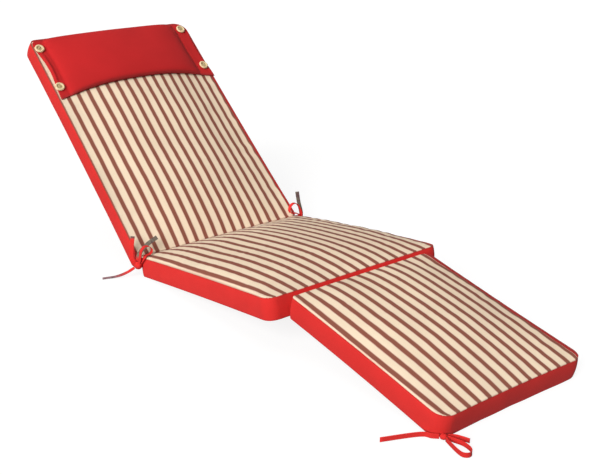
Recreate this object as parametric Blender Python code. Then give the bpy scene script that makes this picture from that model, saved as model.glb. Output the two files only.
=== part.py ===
"""Sun lounger cushion: three filled boxed panels folded at two sewn hinges,
a buttoned head pad and tape ties, lying in its folded shape on a level surface.

Lengths are in metres and angles in degrees. +X runs across the cushion, +Y towards the head end.
Each panel is modelled flat, with its front left top seam corner at the origin, and turned into place.
"""

import math

import bmesh
import bpy
from mathutils import Matrix, Vector

# Driving dimensions of the three panels
WIDTH = 0.500
FOOT_WIDTH = 0.403
BACK_LENGTH = 0.731
SEAT_LENGTH = 0.550
FOOT_LENGTH = 0.4570
BACK_ANGLE = 39.4
SEAT_ANGLE = -8.5
FOOT_ANGLE = 10.35

# How the filling shapes a panel
BASE_CROWN = 0.005
BASE_REACH = 0.028
SIDE_BULGE = 0.0018
DRAWN_IN = 0.003
BOXING_BANDS = 3

# Height of each panel's boxing at its near and far ends: near is the end towards the foot, far the
# end towards the head
BACK_BOXING = {"near": 0.0500, "far": 0.0500}
SEAT_BOXING = {"near": 0.0520, "far": 0.0512}
FOOT_BOXING = {"near": 0.0530, "far": 0.0530}

# How far the back panel widens to the left towards the hinge, and how much further the foot panel's
# near end runs on at its right corner
BACK_FLARE = 0.005
FOOT_SKEW = 0.006

# Radius of each panel's plan corners
BACK_CORNERS = {
    ("near", "left"): 0.010, ("near", "right"): 0.010, ("far", "left"): 0.018, ("far", "right"): 0.040,
}
SEAT_CORNERS = {
    ("near", "left"): 0.028, ("near", "right"): 0.020, ("far", "left"): 0.010, ("far", "right"): 0.010,
}
FOOT_CORNERS = {
    ("near", "left"): 0.034, ("near", "right"): 0.030, ("far", "left"): 0.010, ("far", "right"): 0.022,
}

# How each striped face domes: its height, the powers of its arch across the panel, and how far from
# the near and far seams it has most of its height
BACK_DOME = {"height": 0.0223, "arch": 2.73, "edge": 2.11, "near": 0.071, "far": 0.050}
SEAT_DOME = {"height": 0.0383, "arch": 1.28, "edge": 0.43, "near": 0.103, "far": 0.099}
FOOT_DOME = {"height": 0.0298, "arch": 2.21, "edge": 0.85, "near": 0.138, "far": 0.081}

# How far below the top seams the seat and foot panels fold on each other
FOLD_DEPTH = 0.053

# Half of the gap between two panels at a sewn hinge
SEAM_GAP = 0.0002

# Where the left end of the hinge between back and seat lies. Its height lets the lowest edges
# of seat and foot panel sink about 1 and 3 mm, so each is pressed into a flat strip there.
HINGE = Vector((-0.2162, 0.2394, 0.0494))

# Grid lines near a seam, and the widest step between the others
NEAR_SEAM = (0.0, 0.010, 0.022, 0.040)
GRID_STEP = 0.070

# Head pad, on the back panel
PAD_INSET = 0.001
PAD_DROP = 0.005
PAD_LOW_MIDDLE = 0.533
PAD_LOW_BOW = 0.019
PAD_BOW_POWER = 2.5
PAD_SCALLOP = 0.010
PAD_SLANT = 0.009
PAD_CORNERS = {"left": 0.022, "right": 0.040}
PAD_FLANGE = {"left": 0.032, "right": 0.043}
PAD_CLOTH = 0.003
PAD_FILL = 0.013
PAD_REACH = 0.020
PAD_EDGE_REACH = {"low": 0.007, "high": 0.004}
PAD_CLEARANCE = 0.0011

# The pad's grid lines: how many steps lie between the two filled ends, and the lines from its low
# edge to its high edge as shares of the way
PAD_MIDDLE_STEPS = 6
PAD_ROWS = (0.0, 0.03, 0.09, 0.22, 0.36, 0.50, 0.64, 0.78, 0.88, 0.94, 0.98, 1.0)

# Wooden buttons
BUTTON_RADIUS = 0.0137
BUTTON_HEIGHT = 0.0055
BUTTON_SIDES = 20
BUTTON_GAP = 0.0009

# A dished button with a round rim, from its centre to its underside, in shares of radius and height
BUTTON_PROFILE = (
    {"radius": 0.0, "height": 0.62},
    {"radius": 0.42, "height": 0.66},
    {"radius": 0.62, "height": 1.0},
    {"radius": 0.86, "height": 0.92},
    {"radius": 1.0, "height": 0.5},
    {"radius": 0.88, "height": 0.0},
    {"radius": 0.0, "height": 0.0},
)

# Each button's centre on the back panel
BUTTONS = {
    "button_left_low": {"x": 0.0170, "y": 0.5535},
    "button_left_high": {"x": 0.0155, "y": 0.6915},
    "button_right_low": {"x": 0.4795, "y": 0.5550},
    "button_right_high": {"x": 0.4725, "y": 0.6990},
}

# Tape ties
TAPE_GAP = 0.0005
TAPE_WIDTH = 0.0105
TAPE_THICKNESS = 0.0015
ROUTE_STEPS = 4

# Colours: red cloth, cream and red brown striped cloth, wood
RED = (0.62, 0.035, 0.035, 1.0)
STRIPED = (0.72, 0.52, 0.40, 1.0)
WOOD = (0.76, 0.56, 0.33, 1.0)


def clear_scene():
    """Empties the scene that the script starts in."""
    for thing in list(bpy.data.objects):
        bpy.data.objects.remove(thing)


def make_material(name, colour, roughness):
    """A plain finish with one colour."""
    material = bpy.data.materials.new(name)
    material.use_nodes = True
    shader = material.node_tree.nodes["Principled BSDF"]
    shader.inputs["Base Color"].default_value = colour
    shader.inputs["Roughness"].default_value = roughness
    shader.inputs["Metallic"].default_value = 0.0
    return material


def add_object(name, mesh_data, material, matrix):
    """Turns a bmesh into a named object with its finish and place."""
    mesh = bpy.data.meshes.new(name)
    bmesh.ops.recalc_face_normals(mesh_data, faces=mesh_data.faces)
    mesh_data.to_mesh(mesh)
    mesh_data.free()
    mesh.materials.append(material)
    thing = bpy.data.objects.new(name, mesh)
    thing.matrix_world = matrix
    bpy.context.scene.collection.objects.link(thing)
    return thing


def panel_matrix(corner, angle):
    """The place of a panel whose length rises by an angle from its front left seam corner."""
    return Matrix.Translation(corner) @ Matrix.Rotation(math.radians(angle), 4, "X")


def grid_lines(length):
    """Places of the grid lines along a side: close near both seams, wide between them."""
    inner = length - 2 * NEAR_SEAM[-1]
    steps = math.ceil(inner / GRID_STEP)
    middle = [NEAR_SEAM[-1] + inner * k / steps for k in range(1, steps)]
    return list(NEAR_SEAM) + middle + [length - place for place in reversed(NEAR_SEAM)]


def rise(distance, reach):
    """How much of its full height a filled face has at a distance from its seam, from 0 to 1."""
    return 1.0 - math.exp(-max(distance, 0.0) / reach)


class Panel:
    """Sizes of one boxed panel, and the points of its faces."""

    def __init__(self, width, length, boxing, radii, dome, drawn_in, flare, skew):
        self.width = width
        self.length = length
        self.boxing = boxing
        self.radii = radii
        self.dome = dome
        self.drawn_in = drawn_in
        self.flare = flare
        self.skew = skew
        self.columns = grid_lines(width)
        self.rows = grid_lines(length)

    def base_crown(self, x, y):
        """How far the base bulges at a place of the unrounded panel."""
        across = rise(x, BASE_REACH) * rise(self.width - x, BASE_REACH)
        along = rise(y, BASE_REACH) * rise(self.length - y, BASE_REACH)
        return BASE_CROWN * across * along

    def corner_of(self, x, y):
        """The rounded corner that a place belongs to: its arc's centre and its share of the radius."""
        right = x > self.width / 2
        far = y > self.length / 2
        radius = self.radii[("far" if far else "near", "right" if right else "left")]
        centre = Vector((self.width - radius if right else radius, self.length - radius if far else radius))
        share = Vector((x - centre.x, y - centre.y)) / radius
        inside = share.x * (1 if right else -1) > 0 and share.y * (1 if far else -1) > 0
        return centre, radius, share if inside else None

    def outline_point(self, x, y):
        """A place of the square grid, moved to fit the rounded corners and the drawn-in sides."""
        centre, radius, share = self.corner_of(x, y)
        place = Vector((x, y))
        if share is not None:
            wide = share.x * math.sqrt(1 - share.y ** 2 / 2)
            deep = share.y * math.sqrt(1 - share.x ** 2 / 2)
            place = centre + Vector((wide, deep)) * radius
        side = 2 * x / self.width - 1
        end = 2 * y / self.length - 1
        place.x -= side * self.drawn_in["sides"] * (1 - end ** 2)
        pull = self.drawn_in["far" if end > 0 else "near"]
        place.y -= end * pull * (1 - side ** 2)
        before_far = 1 - y / self.length
        place.x -= self.flare * (1 - x / self.width) * before_far
        place.y -= self.skew * x / self.width * before_far
        return place

    def boxing_height(self, y):
        """Height of the boxing at a place along the panel."""
        share = y / self.length
        return self.boxing["near"] * (1 - share) + self.boxing["far"] * share

    def outward(self, x, y):
        """The direction that the boxing faces at a place on the outline."""
        share = self.corner_of(x, y)[2]
        if share is not None:
            wide = share.x * math.sqrt(1 - share.y ** 2 / 2)
            deep = share.y * math.sqrt(1 - share.x ** 2 / 2)
            return Vector((wide, deep)).normalized()
        if x in (self.columns[0], self.columns[-1]):
            return Vector((1.0 if x > self.width / 2 else -1.0, 0.0))
        return Vector((0.0, 1.0 if y > self.length / 2 else -1.0))

    def top_height(self, x, y):
        """Height of the domed striped face above its seam."""
        side = min(abs(2 * x / self.width - 1), 1.0)
        across = (1 - side ** self.dome["arch"]) ** self.dome["edge"]
        along = rise(y, self.dome["near"]) * rise(self.length - y, self.dome["far"])
        return self.dome["height"] * across * along

    def point(self, level, x, y):
        """A point of the top face at level 0, of the boxing's bands, or of the base at the last level."""
        place = self.outline_point(x, y)
        if level == 0:
            return Vector((place.x, place.y, self.top_height(x, y)))
        share = level / BOXING_BANDS
        if level == BOXING_BANDS:
            return Vector((place.x, place.y, -self.boxing_height(y) - self.base_crown(x, y)))
        place += self.outward(x, y) * SIDE_BULGE * 4 * share * (1 - share)
        return Vector((place.x, place.y, -self.boxing_height(y) * share))


def panel_mesh(panel):
    """Closed mesh of a filled panel: a domed face, the boxing in bands, and a bulging base."""
    columns, rows = panel.columns, panel.rows
    shape = bmesh.new()
    column_of = shape.verts.layers.int.new("column")
    row_of = shape.verts.layers.int.new("row")
    bmesh.ops.create_grid(shape, x_segments=len(columns) - 1, y_segments=len(rows) - 1, size=1.0)
    for vertex in shape.verts:
        vertex[column_of] = round((vertex.co.x + 1) / 2 * (len(columns) - 1))
        vertex[row_of] = round((vertex.co.y + 1) / 2 * (len(rows) - 1))

    def put(vertices, level):
        for vertex in vertices:
            vertex.co = panel.point(level, columns[vertex[column_of]], rows[vertex[row_of]])

    face = list(shape.faces)
    rim = [edge for edge in shape.edges if edge.is_boundary]
    copied = bmesh.ops.duplicate(shape, geom=face)["geom"]
    put({vertex for polygon in face for vertex in polygon.verts}, 0)
    put([part for part in copied if isinstance(part, bmesh.types.BMVert)], BOXING_BANDS)
    for level in range(1, BOXING_BANDS + 1):
        grown = bmesh.ops.extrude_edge_only(shape, edges=rim)["geom"]
        put([part for part in grown if isinstance(part, bmesh.types.BMVert)], level)
        rim = [part for part in grown if isinstance(part, bmesh.types.BMEdge)]
    bmesh.ops.remove_doubles(shape, verts=shape.verts, dist=0.00001)
    return shape


def press_flat(shape, matrix, height):
    """Cuts off what would sink below a level height, which leaves a flat strip to rest on."""
    to_local = matrix.inverted()
    plane_point = to_local @ Vector((0.0, 0.0, height))
    plane_normal = (to_local.to_3x3() @ Vector((0.0, 0.0, 1.0))).normalized()
    everything = list(shape.verts) + list(shape.edges) + list(shape.faces)
    cut = bmesh.ops.bisect_plane(
        shape, geom=everything, dist=0.000001, plane_co=plane_point, plane_no=plane_normal, clear_inner=True
    )
    edges = [part for part in cut["geom_cut"] if isinstance(part, bmesh.types.BMEdge)]
    bmesh.ops.edgeloop_fill(shape, edges=edges)


def make_panel(name, panel, matrix, material, rests):
    """One filled panel in its place."""
    shape = panel_mesh(panel)
    if rests:
        press_flat(shape, matrix, 0.0)
    return add_object(name, shape, material, matrix)


class HeadPad:
    """Sizes of the head pad, in the back panel's own axes."""

    def __init__(self, back):
        self.back = back
        self.left = PAD_INSET
        self.right = back.width - PAD_INSET
        self.high = back.length - PAD_DROP
        self.width = self.right - self.left
        left = self.side_lines(PAD_FLANGE["left"])
        right = [self.width - place for place in reversed(self.side_lines(PAD_FLANGE["right"]))]
        inner = right[0] - left[-1]
        middle = [left[-1] + inner * k / PAD_MIDDLE_STEPS for k in range(1, PAD_MIDDLE_STEPS)]
        self.columns = left + middle + right

    def side_lines(self, flange):
        """Grid lines over a flange and the start of the filling, from the pad's end inwards."""
        return [0.0, flange / 2, flange, flange + PAD_REACH / 2, flange + PAD_REACH * 1.5]

    def side_inset(self, name, y, up):
        """How far a side of the pad lies in: at its rounded top corner, and bowed between the buttons."""
        bow = PAD_SCALLOP * math.sin(math.pi * up) ** 2
        if name == "left":
            bow += PAD_SLANT * (1 - up)
        radius = PAD_CORNERS[name]
        into = max(0.0, radius - (self.high - y))
        return bow + radius - math.sqrt(radius ** 2 - into ** 2)

    def place(self, across, up):
        """A place on the pad: its low edge bows up, and its sides follow their insets."""
        side = 2 * across / self.width - 1
        low = PAD_LOW_MIDDLE - PAD_LOW_BOW * abs(side) ** PAD_BOW_POWER
        y = low + (self.high - low) * up
        inset = self.side_inset("right" if side > 0 else "left", y, up)
        return self.left + across - side ** 5 * inset, y

    def base_height(self, x, y):
        """The underside lies on the back panel's face."""
        return self.back.top_height(x, y) + PAD_CLEARANCE

    def thickness(self, across, up):
        """Two layers of cloth at the flanges and edges, filled between them."""
        inner = min(across - PAD_FLANGE["left"], self.width - across - PAD_FLANGE["right"])
        length = self.high - PAD_LOW_MIDDLE
        ends = rise(length * up, PAD_EDGE_REACH["low"]) * rise(length * (1 - up), PAD_EDGE_REACH["high"])
        return PAD_CLOTH + PAD_FILL * rise(inner, PAD_REACH) * ends

    def top_height(self, across, up):
        """Height of the pad's face above the back panel's seam."""
        x, y = self.place(across, up)
        return self.base_height(x, y) + self.thickness(across, up)


def make_head_pad(pad, matrix, material):
    """The thin filled pad with its flat flanges."""
    columns, rows = pad.columns, PAD_ROWS
    shape = bmesh.new()
    column_of = shape.verts.layers.int.new("column")
    row_of = shape.verts.layers.int.new("row")
    bmesh.ops.create_grid(shape, x_segments=len(columns) - 1, y_segments=len(rows) - 1, size=1.0)
    for vertex in shape.verts:
        vertex[column_of] = round((vertex.co.x + 1) / 2 * (len(columns) - 1))
        vertex[row_of] = round((vertex.co.y + 1) / 2 * (len(rows) - 1))
    underside = list(shape.faces)
    for vertex in shape.verts:
        x, y = pad.place(columns[vertex[column_of]], rows[vertex[row_of]])
        vertex.co = Vector((x, y, pad.base_height(x, y)))
    grown = bmesh.ops.extrude_face_region(shape, geom=underside, use_keep_orig=True)["geom"]
    for vertex in [part for part in grown if isinstance(part, bmesh.types.BMVert)]:
        across, up = columns[vertex[column_of]], rows[vertex[row_of]]
        vertex.co.z = pad.top_height(across, up)
    return add_object("head_pad", shape, material, matrix)


def make_button(name, pad, x, y, matrix, material):
    """A turned button that lies on the pad's flange, tilted with it."""
    step = BUTTON_RADIUS / 2
    under = pad.back.top_height
    centre = Vector((x, y, under(x, y) + PAD_CLEARANCE + PAD_CLOTH))
    slope_x = (under(x + step, y) - under(x - step, y)) / (2 * step)
    slope_y = (under(x, y + step) - under(x, y - step)) / (2 * step)
    normal = Vector((-slope_x, -slope_y, 1.0)).normalized()
    shape = bmesh.new()
    points = []
    for station in BUTTON_PROFILE:
        radius, height = BUTTON_RADIUS * station["radius"], BUTTON_HEIGHT * station["height"]
        points.append(shape.verts.new((radius, 0.0, height)))
    edges = [shape.edges.new(pair) for pair in zip(points, points[1:])]
    bmesh.ops.spin(
        shape, geom=points + edges, axis=(0.0, 0.0, 1.0), cent=(0.0, 0.0, 0.0),
        angle=2 * math.pi, steps=BUTTON_SIDES, use_merge=True
    )
    bmesh.ops.remove_doubles(shape, verts=shape.verts, dist=0.00001)
    turn = Vector((0.0, 0.0, 1.0)).rotation_difference(normal).to_matrix().to_4x4()
    seat = Matrix.Translation(centre + normal * BUTTON_GAP) @ turn
    button = add_object(name, shape, material, matrix @ seat)
    button.data.shade_smooth()
    return button


def smooth_route(points):
    """Points of a smooth curve through the given ones."""
    padded = [points[0] * 2 - points[1]] + list(points) + [points[-1] * 2 - points[-2]]
    route = []
    for before, start, end, after in zip(padded, padded[1:], padded[2:], padded[3:]):
        for k in range(ROUTE_STEPS):
            t = k / ROUTE_STEPS
            route.append(0.5 * (
                2 * start + (end - before) * t
                + (2 * before - 5 * start + 4 * end - after) * t ** 2
                + (3 * start - before - 3 * end + after) * t ** 3
            ))
    return route + [points[-1]]


def knot_surface(knot, towards):
    """The point just outside a knot, on the straight line from its centre to another point."""
    centre = Vector(knot["centre"])
    direction = (Vector(towards) - centre).normalized()
    reach = 1 / math.sqrt(sum((part / radius) ** 2 for part, radius in zip(direction, knot["radii"])))
    return centre + direction * (reach + TAPE_GAP)


def make_tape(name, knot, is_loop, stations, material):
    """A flat tape along a smooth route that starts at its knot and, as a loop, comes back there."""
    points = [Vector(point) for point, width in stations]
    widths = [Vector(width) for point, width in stations]
    points.insert(0, knot_surface(knot, points[0]))
    widths.insert(0, widths[0])
    if is_loop:
        points.append(knot_surface(knot, points[-1]))
        widths.append(widths[-1])
    centres = smooth_route(points)
    widths = smooth_route(widths)
    shape = bmesh.new()
    face = None
    for k, centre in enumerate(centres):
        ahead = centres[min(k + 1, len(centres) - 1)]
        behind = centres[max(k - 1, 0)]
        along = (ahead - behind).normalized()
        across = (widths[k] - along * widths[k].dot(along)).normalized() * TAPE_WIDTH / 2
        thick = along.cross(across).normalized() * TAPE_THICKNESS / 2
        upper = [centre + across + thick, centre - across + thick]
        lower = [centre - across - thick, centre + across - thick]
        face = next_section(shape, face, upper + lower)
    return add_object(name, shape, material, Matrix.Translation(HINGE))


def next_section(shape, face, ring):
    """Extrudes the end face of a tape to four new corners, or makes the first end face."""
    if face is None:
        return shape.faces.new([shape.verts.new(point) for point in ring])
    inside = len(shape.faces) > 1
    corners = list(face.verts)
    grown = bmesh.ops.extrude_face_region(shape, geom=[face], use_keep_orig=True)["geom"]
    fresh = [part for part in grown if isinstance(part, bmesh.types.BMVert)]
    end = next(part for part in grown if isinstance(part, bmesh.types.BMFace))
    moved = [min(fresh, key=lambda vertex: (vertex.co - corner.co).length) for corner in corners]
    for vertex, point in zip(moved, ring):
        vertex.co = point
    if inside:
        bmesh.ops.delete(shape, geom=[face], context="FACES_ONLY")
    return end


def make_knot(name, knot, material):
    """The tightened knot of a tie, as a rounded lump."""
    shape = bmesh.new()
    bmesh.ops.create_icosphere(shape, subdivisions=2, radius=1.0)
    bmesh.ops.scale(shape, verts=shape.verts, vec=knot["radii"])
    knot = add_object(name, shape, material, Matrix.Translation(HINGE + Vector(knot["centre"])))
    knot.data.shade_smooth()
    return knot


# Knots: centre from the hinge's left end, and radii
KNOTS = {
    "left_tie_knot": {"centre": (-0.0104, -0.0075, -0.0180), "radii": (0.0096, 0.0120, 0.0110)},
    "right_tie_knot": {"centre": (0.5085, -0.0070, -0.0180), "radii": (0.0080, 0.0108, 0.0090)},
    "foot_tie_knot": {"centre": (0.0596, -1.0056, -0.0426), "radii": (0.0075, 0.0075, 0.0065)},
}

# Tapes: the knot that each leaves, whether it comes back there as a loop, the points that it
# passes on its way, from the hinge's left end, and the direction of its width at each
UPRIGHT = (0.0, 0.0, 1.0)
LEVEL = (0.0, 1.0, 0.0)
FACING = (0.79, -0.62, 0.0)
RECEDING = (0.4, 0.9, -0.2)
TAPES = {
    "left_tie_upper_end": ("left_tie_knot", False, (
        ((-0.0215, 0.0030, -0.0010), FACING),
        ((-0.0155, 0.0100, 0.0280), FACING),
        ((-0.0070, 0.0180, 0.0520), FACING),
    )),
    "left_tie_floor_end": ("left_tie_knot", False, (
        ((-0.0360, 0.0060, -0.0350), LEVEL),
        ((-0.0570, 0.0210, -0.0450), LEVEL),
        ((-0.0890, 0.0370, -0.0481), LEVEL),
    )),
    "left_tie_leaning_end": ("left_tie_knot", False, (
        ((-0.0055, -0.0030, 0.0040), FACING),
        ((0.0045, -0.0045, 0.0190), RECEDING),
        ((0.0280, 0.0000, 0.0310), RECEDING),
        ((0.0520, 0.0000, 0.0410), RECEDING),
    )),
    "left_tie_loop": ("left_tie_knot", True, (
        ((-0.0110, -0.0200, 0.0040), LEVEL),
        ((-0.0080, -0.0220, 0.0230), LEVEL),
        ((0.0020, -0.0220, 0.0340), LEVEL),
        ((0.0150, -0.0220, 0.0320), LEVEL),
        ((0.0230, -0.0220, 0.0210), LEVEL),
        ((0.0170, -0.0220, 0.0115), LEVEL),
        ((0.0060, -0.0220, 0.0105), LEVEL),
        ((-0.0025, -0.0270, 0.0065), LEVEL),
    )),
    "right_tie_upper_end": ("right_tie_knot", False, (
        ((0.5210, 0.0060, 0.0020), RECEDING),
        ((0.5145, 0.0085, 0.0340), RECEDING),
        ((0.5085, 0.0080, 0.0650), RECEDING),
    )),
    "right_tie_loop": ("right_tie_knot", True, (
        ((0.5110, -0.0070, 0.0060), LEVEL),
        ((0.5060, -0.0060, 0.0220), LEVEL),
        ((0.4960, -0.0060, 0.0360), LEVEL),
        ((0.4820, -0.0060, 0.0390), LEVEL),
        ((0.4710, -0.0060, 0.0290), LEVEL),
        ((0.4730, -0.0060, 0.0150), LEVEL),
        ((0.4880, -0.0060, 0.0100), LEVEL),
        ((0.5010, -0.0065, 0.0055), LEVEL),
    )),
    "foot_tie_left_end": ("foot_tie_knot", False, (
        ((0.0437, -0.9898, -0.0425), UPRIGHT),
        ((0.0367, -0.9768, -0.0427), UPRIGHT),
        ((0.0130, -0.9630, -0.0430), UPRIGHT),
        ((-0.0385, -0.9405, -0.0432), UPRIGHT),
    )),
    "foot_tie_right_end": ("foot_tie_knot", False, (
        ((0.0777, -1.0203, -0.0427), UPRIGHT),
        ((0.0880, -1.0440, -0.0432), UPRIGHT),
    )),
    "foot_tie_loop": ("foot_tie_knot", True, (
        ((0.0517, -1.0308, -0.0427), UPRIGHT),
        ((0.0462, -1.0525, -0.0430), UPRIGHT),
        ((0.0455, -1.0670, -0.0432), UPRIGHT),
        ((0.0530, -1.0745, -0.0432), UPRIGHT),
        ((0.0625, -1.0725, -0.0432), UPRIGHT),
        ((0.0695, -1.0620, -0.0432), UPRIGHT),
        ((0.0715, -1.0440, -0.0430), UPRIGHT),
        ((0.0672, -1.0288, -0.0427), UPRIGHT),
    )),
}


def build():
    """Makes every piece of the cushion."""
    clear_scene()
    red = make_material("red_cloth", RED, 0.85)
    striped = make_material("striped_cloth", STRIPED, 0.85)
    wood = make_material("button_wood", WOOD, 0.5)

    along_back = panel_matrix(HINGE, BACK_ANGLE)
    straight_ends = {"sides": DRAWN_IN, "near": 0.0, "far": 0.0}
    back = Panel(
        WIDTH, BACK_LENGTH, BACK_BOXING, BACK_CORNERS, BACK_DOME, straight_ends, BACK_FLARE, 0.0
    )
    back_matrix = along_back @ Matrix.Translation((0.0, SEAM_GAP, 0.0))
    make_panel("back_panel", back, back_matrix, striped, rests=False)

    seat = Panel(WIDTH, SEAT_LENGTH, SEAT_BOXING, SEAT_CORNERS, SEAT_DOME, straight_ends, 0.0, 0.0)
    at_hinge = panel_matrix(HINGE, SEAT_ANGLE)
    seat_matrix = at_hinge @ Matrix.Translation((0.0, -SEAM_GAP - SEAT_LENGTH, 0.0))
    make_panel("seat_panel", seat, seat_matrix, striped, rests=True)

    bowed_end = {"sides": DRAWN_IN, "near": DRAWN_IN, "far": 0.0}
    foot = Panel(
        FOOT_WIDTH, FOOT_LENGTH, FOOT_BOXING, FOOT_CORNERS, FOOT_DOME, bowed_end, 0.0, FOOT_SKEW
    )
    fold = seat_matrix @ Vector(((WIDTH - FOOT_WIDTH) / 2, -2 * SEAM_GAP, -FOLD_DEPTH))
    foot_matrix = panel_matrix(fold, FOOT_ANGLE) @ Matrix.Translation((0.0, -FOOT_LENGTH, FOLD_DEPTH))
    make_panel("foot_panel", foot, foot_matrix, striped, rests=True)

    pad = HeadPad(back)
    make_head_pad(pad, back_matrix, red)
    for name, place in BUTTONS.items():
        make_button(name, pad, place["x"], place["y"], back_matrix, wood)

    for name, knot in KNOTS.items():
        make_knot(name, knot, red)
    for name, (knot_name, is_loop, stations) in TAPES.items():
        make_tape(name, KNOTS[knot_name], is_loop, stations, red)


build()
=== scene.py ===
"""Looks of the sun lounger cushion: three boxed panels of striped cotton, a buttoned head pad and tape ties.

Lengths are in metres and angles in degrees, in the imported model's frame: +X across the cushion,
+Y towards its head end and +Z up. Each panel is shaped flat, with its front left top seam corner at
the origin, and then turned into the place that its solid has.
"""

import math

import bmesh
import bpy
from mathutils import Matrix, Vector, noise


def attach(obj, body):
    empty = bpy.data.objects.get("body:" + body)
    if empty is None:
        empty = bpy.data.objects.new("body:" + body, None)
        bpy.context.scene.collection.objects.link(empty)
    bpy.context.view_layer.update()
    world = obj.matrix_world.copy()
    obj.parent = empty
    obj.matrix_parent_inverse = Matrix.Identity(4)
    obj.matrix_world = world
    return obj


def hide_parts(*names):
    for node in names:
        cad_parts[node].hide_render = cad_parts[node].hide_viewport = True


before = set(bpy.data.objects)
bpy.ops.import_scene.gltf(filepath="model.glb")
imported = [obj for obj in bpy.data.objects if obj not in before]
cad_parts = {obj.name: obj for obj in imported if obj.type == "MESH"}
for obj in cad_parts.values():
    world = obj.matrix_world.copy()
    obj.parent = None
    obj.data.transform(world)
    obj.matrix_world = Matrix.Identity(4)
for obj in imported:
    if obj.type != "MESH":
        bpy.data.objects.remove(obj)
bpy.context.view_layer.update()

# Driving dimensions of the panels, as their solids have them
WIDTH = 0.500
BACK_ANGLE = 39.4
SEAT_ANGLE = -8.5
FOOT_ANGLE = 10.35
BASE_CROWN = 0.005
BASE_REACH = 0.028
SIDE_BULGE = 0.0018
DRAWN_IN = 0.003
SEAM_GAP = 0.0002
HINGE = Vector((-0.2162, 0.2394, 0.0494))

# How far below the seat panel's top seam the fold between seat and foot panel lies
FOLD_DEPTH = 0.053

# Mesh of a panel: lines near a seam, the widest step between the others, and how far down the
# boxing its lines run, as shares of its depth
NEAR_SEAM = (0.0, 0.0015, 0.0030, 0.0045, 0.0060, 0.0070, 0.0080, 0.0090, 0.0100, 0.0115, 0.015, 0.021, 0.028)
MESH_STEP = 0.0085
BOXING_LINES = (0.0, 0.03, 0.08, 0.20, 0.40, 0.60, 0.80, 0.92, 0.97, 1.0)
BASE_LEVEL = len(BOXING_LINES) - 1

# Points closer than this are one point
SAME_POINT = 0.00001

# Seams: depth and width of the line of stitches, how far down the boxing is drawn in beside it, the
# ridge of cloth beside it, and the painted shade along it, a dark line in its groove: its width and
# its strength on the striped face, and the painted shade of boxing rolled over the edge, turned from the
# light
SEAM_GROOVE = 0.0011
SEAM_WIDTH = 0.0011
SEAM_GROOVE_REACH = 0.0030
SEAM_RIDGE = {"height": 0.00055, "place": 0.0035, "width": 0.0020}
SEAM_SHADE_WIDTH = 0.0013
FACE_SHADE = 0.6
BAND_SHADE = 0.85

# Puckers that the seams gather: height, length along the seam, depth across it, how soon they begin
# and how far in they reach
PUCKER_HEIGHT = 0.0018
PUCKER_LENGTH = 0.02375
PUCKER_DEPTH = 0.09
PUCKER_START = 0.006
PUCKER_REACH = 0.042

# Ripples of the boxing, along it and down it, and unevenness of the filling
RIPPLE_LENGTH = 0.038
RIPPLE_DEPTH = 0.02
FILL_HEIGHT = 0.0022
FILL_LENGTH = 0.13
FILL_GAIN = 1.2

# How far apart the slices of noise lie that the sides, the base, the boxing and the stripes read
NOISE_SLICES = {"side": 3.1, "base": 7.0, "boxing": 20.0, "stripes": 31.0}

# Settling of the striped face: mesh step, how close to a seam it is held, how strongly the filling
# keeps the rest in place, frames, the longest move, and the cloth, which is cut a little too large
CLOTH_STEP = 0.008
CLOTH_HELD = 0.030
CLOTH_GOAL = 0.30
CLOTH_FRAMES = 20
CLOTH_CAP = 0.002
CLOTH_SETTINGS = {
    "quality": 5, "mass": 0.15, "tension_stiffness": 15.0, "compression_stiffness": 15.0,
    "shear_stiffness": 5.0, "bending_stiffness": 0.5, "pin_stiffness": 1.0,
    "use_pressure": True, "uniform_pressure_force": 0.3, "shrink_min": -0.005,
}

# Stripes: their width as a share of their spacing, how steeply they crowd towards the right seam,
# and how they waver, most of all there
STRIPE_WIDTH = 0.37
SQUEEZE_POWER = 4
WAVER = {"width": 0.0022, "across": 0.05, "least": 0.25, "reach": 0.055}

# Head pad, on the back panel: its outline, and the length over which the gathers of the striped face
# fade out before it
PAD_INSET = 0.001
PAD_DROP = 0.005
PAD_LOW_MIDDLE = 0.533
PAD_LOW_BOW = 0.019
PAD_BOW_POWER = 2.5
PAD_SCALLOP = 0.010
PAD_SLANT = 0.006
PAD_SIDE_POWER = 5
PAD_CORNERS = {"left": 0.022, "right": 0.040}
PAD_FADE = 0.020

# Its flanges, its filling, the crease between them, the filling's waves, the ridge of the left
# flange's hem, and how it lies on the back panel
PAD_FLANGE = {"left": 0.032, "right": 0.043}
PAD_CLOTH = 0.003
PAD_FILL = 0.013
PAD_REACH = 0.020
PAD_EDGE_REACH = {"low": 0.007, "high": 0.004}
PAD_CREASE = {"depth": 0.0014, "width": 0.0035}
PAD_WAVE = {"height": 0.0020, "across": 0.09, "up": 2.0, "slice": 5.3}
PAD_HEM = {"height": 0.0050, "across": 0.0085, "width": 0.0055, "from": 0.14, "to": 0.84}
PAD_CLEARANCE = 0.0011
PAD_LIFT = 0.0024
PAD_LIFT_REACH = 0.010

# Its mesh, and the shade along its low and top hems: strength and depth
PAD_COLUMNS = 84
PAD_ROWS = 40
PAD_HEM_SHADE = 0.9
PAD_HEM_DEPTH = 0.0055

# Wooden buttons
BUTTON_RADIUS = 0.0137
BUTTON_HEIGHT = 0.0055
BUTTON_SIDES = 48
BUTTON_GAP = 0.0009
BUTTONS = {
    "button_left_low": {"x": 0.0170, "y": 0.5535, "turn": 20.0},
    "button_left_high": {"x": 0.0155, "y": 0.6915, "turn": 65.0},
    "button_right_low": {"x": 0.4795, "y": 0.5550, "turn": -15.0},
    "button_right_high": {"x": 0.4725, "y": 0.6990, "turn": 40.0},
}

# Tape ties
TAPE_GAP = 0.0005
TAPE_WIDTH = 0.0105
TAPE_THICKNESS = 0.0015
ROUTE_STEPS = 10

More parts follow.
